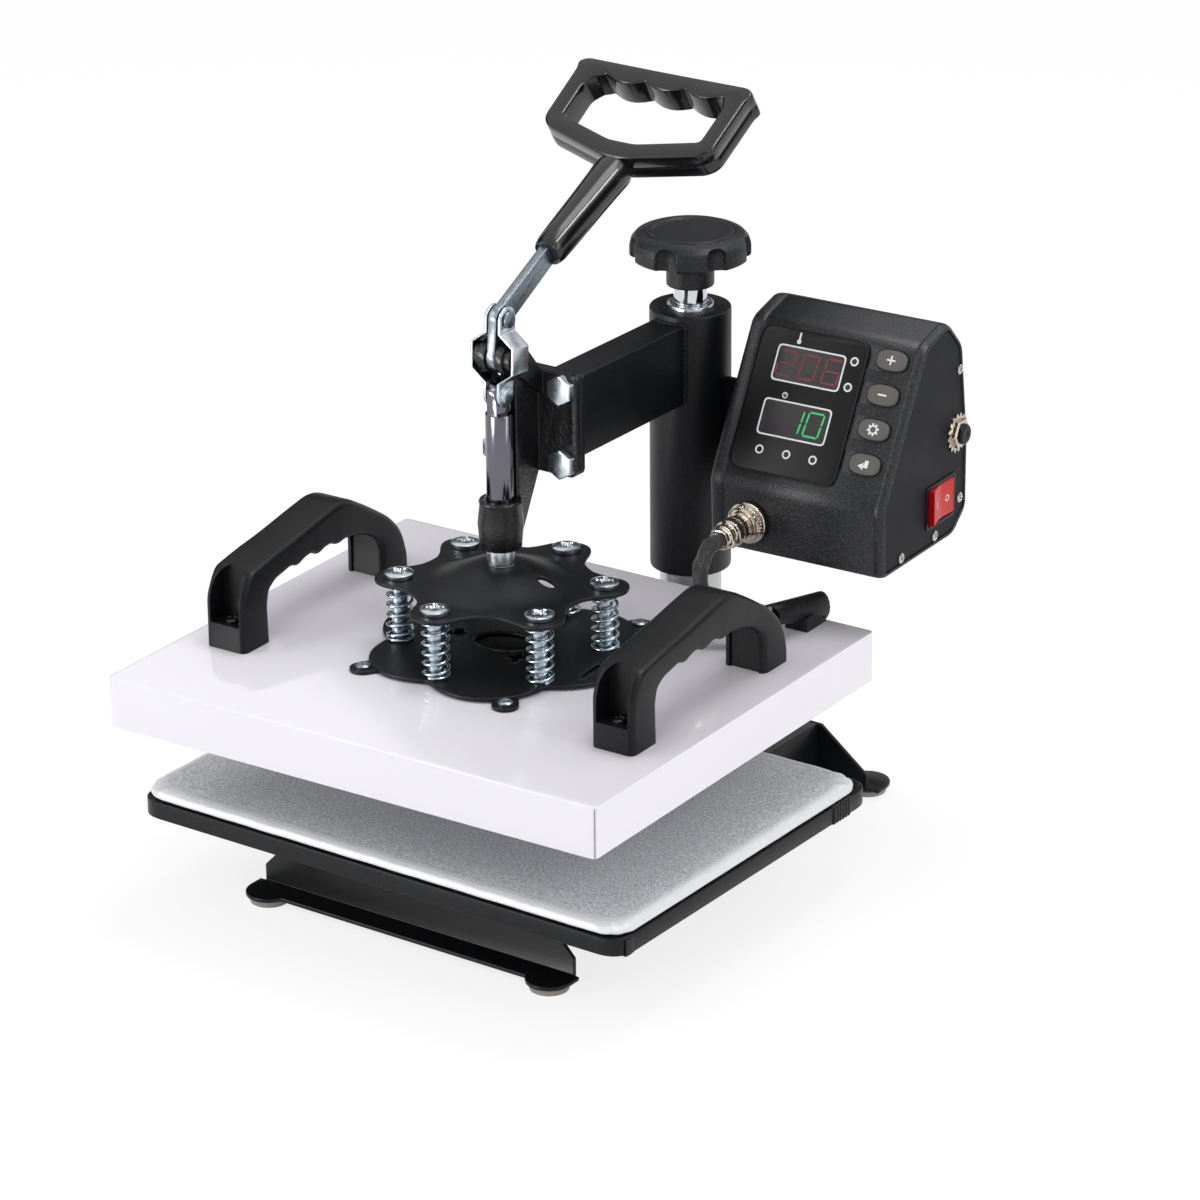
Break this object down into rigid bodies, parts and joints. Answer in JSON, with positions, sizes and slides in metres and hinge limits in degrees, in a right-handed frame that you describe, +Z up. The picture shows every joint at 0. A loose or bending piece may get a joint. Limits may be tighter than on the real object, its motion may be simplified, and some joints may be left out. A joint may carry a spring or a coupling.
{
  "type": "swing-away heat press",
  "caption": "Swing-away heat press: post, arm with toggle lever, sprung heated platen with two handles, padded base tray and a side control box.",
  "frame": {"origin": "bottom centre of the bounding box, on the surface the press stands on", "axes": "+Z up, +Y away from the operator, +X to the operator's right"},
  "size_m": [0.322, 0.3814, 0.4194],
  "materials": {
    "black_powder": "fine textured black powder coat",
    "cast_black": "black paint over rough cast iron",
    "white_enamel": "smooth white enamel",
    "black_moulded": "satin moulded black",
    "gloss_black": "glossy black",
    "zinc_plate": "bright zinc plate",
    "bright_steel": "turned steel",
    "chrome": "hard chrome",
    "cast_aluminium": "machined cast aluminium",
    "foot_disc": "matte grey rubber",
    "silver_cloth": "pebbled silver coated cloth",
    "glass_wool": "pressed fibre",
    "nylon": "natural nylon",
    "red_plastic": "glossy red",
    "grey_button": "satin grey silicone",
    "cable_braid": "black braided sleeve",
    "circuit_board": "green board"
  },
  "bodies": {
    "base": {"base_channel": "black_powder", "front_beam": "black_powder", "rear_beam": "black_powder", "foot_front_left": "foot_disc", "foot_front_right": "foot_disc", "foot_rear_left": "foot_disc", "foot_rear_right": "foot_disc", "post": "bright_steel", "tray": "black_powder", "press_pad": "silver_cloth"},
    "bush": {"swing_bush": "nylon"},
    "knob": {"pressure_knob": "black_moulded", "lift_screw": "chrome"},
    "head": {"swing_sleeve": "black_powder", "lift_nut": "chrome", "arm_tube": "black_powder", "arm_end_plate": "black_powder", "plunger_bracket": "cast_black", "flange_bolt_1": "zinc_plate", "flange_bolt_2": "zinc_plate", "flange_bolt_3": "zinc_plate", "flange_bolt_4": "zinc_plate", "lever_pivot_pin": "zinc_plate", "box_bracket": "black_powder", "case_shell": "black_powder", "case_side_left": "black_powder", "case_side_right": "black_powder", "panel_overlay": "gloss_black", "rocker_bezel": "black_moulded", "fuse_holder": "black_moulded", "panel_socket": "zinc_plate", "cable_plug": "zinc_plate", "mains_gland": "black_moulded", "control_board": "circuit_board"},
    "lever": {"lever_bar": "zinc_plate", "lever_grip": "gloss_black"},
    "links": {"link_left": "zinc_plate", "link_right": "zinc_plate"},
    "plunger": {"plunger_rod": "chrome", "star_plate": "black_powder"},
    "platen": {"platen_cover": "white_enamel", "heater_plate": "cast_aluminium", "insulation": "glass_wool", "lobed_plate": "black_powder", "bolt_plate": "zinc_plate", "float_spring_1": "zinc_plate", "float_spring_2": "zinc_plate", "float_spring_3": "zinc_plate", "float_spring_4": "zinc_plate", "float_spring_5": "zinc_plate", "float_spring_6": "zinc_plate", "handle_left": "black_moulded", "handle_right": "black_moulded", "cable_hood": "black_moulded", "heater_cable": "cable_braid"},
    "rocker": {"rocker_switch": "red_plastic"},
    "button_confirm": {"button_confirm": "grey_button"},
    "button_set": {"button_set": "grey_button"},
    "button_minus": {"button_minus": "grey_button"},
    "button_plus": {"button_plus": "grey_button"}
  },
  "joints": [
    {"name": "head_swing", "type": "hinge", "parent": "base", "child": "bush", "pos_m": [-0.00201, 0.13574, 0.2], "axis": [0, 0, 1], "continuous": true},
    {"name": "knob_turn", "type": "hinge", "parent": "bush", "child": "knob", "pos_m": [-0.00201, 0.13574, 0.3], "axis": [0, 0, 1], "range_deg": [-1083, 0]},
    {"name": "head_lift", "type": "slide", "parent": "bush", "child": "head", "axis": [0, 0, 1], "range_m": [0, 0.0045]},
    {"name": "plunger_press", "type": "slide", "parent": "head", "child": "plunger", "axis": [0, 0, -1], "range_m": [0, 0.04134]},
    {"name": "lever_swing", "type": "hinge", "parent": "head", "child": "lever", "pos_m": [-0.00201, -0.04246, 0.3049], "axis": [1, 0, 0], "range_deg": [0, 186.1]},
    {"name": "link_turn", "type": "hinge", "parent": "lever", "child": "links", "pos_m": [-0.00201, -0.0403, 0.32549], "axis": [1, 0, 0], "range_deg": [-183.1, 0]},
    {"name": "platen_float", "type": "slide", "parent": "plunger", "child": "platen", "axis": [0, 0, 1], "range_m": [0, 0.004], "stiffness_N_per_m": 40000, "springref_m": -0.002, "deforming": ["float_spring_1", "float_spring_2", "float_spring_3", "float_spring_4", "float_spring_5", "float_spring_6"]},
    {"name": "rocker_turn", "type": "hinge", "parent": "head", "child": "rocker", "pos_m": [0.15217, 0.14826, 0.196], "axis": [0, 0, 1], "range_deg": [-14, 0]},
    {"name": "button_confirm_push", "type": "slide", "parent": "head", "child": "button_confirm", "axis": [-0.0469, 0.8665, -0.497], "range_m": [0, 0.001], "stiffness_N_per_m": 500, "springref_m": -0.0005},
    {"name": "button_set_push", "type": "slide", "parent": "head", "child": "button_set", "axis": [-0.0469, 0.8665, -0.497], "range_m": [0, 0.001], "stiffness_N_per_m": 500, "springref_m": -0.0005},
    {"name": "button_minus_push", "type": "slide", "parent": "head", "child": "button_minus", "axis": [-0.0469, 0.8665, -0.497], "range_m": [0, 0.001], "stiffness_N_per_m": 500, "springref_m": -0.0005},
    {"name": "button_plus_push", "type": "slide", "parent": "head", "child": "button_plus", "axis": [-0.0469, 0.8665, -0.497], "range_m": [0, 0.001], "stiffness_N_per_m": 500, "springref_m": -0.0005}
  ],
  "couplings": [
    {"joint": "knob_turn", "follows": "head_lift", "rad_per_m": -4188.8},
    {"joint": "lever_swing", "follows": "plunger_press", "rad_per_m": 78.52},
    {"joint": "link_turn", "follows": "plunger_press", "rad_per_m": -77.247}
  ]
}
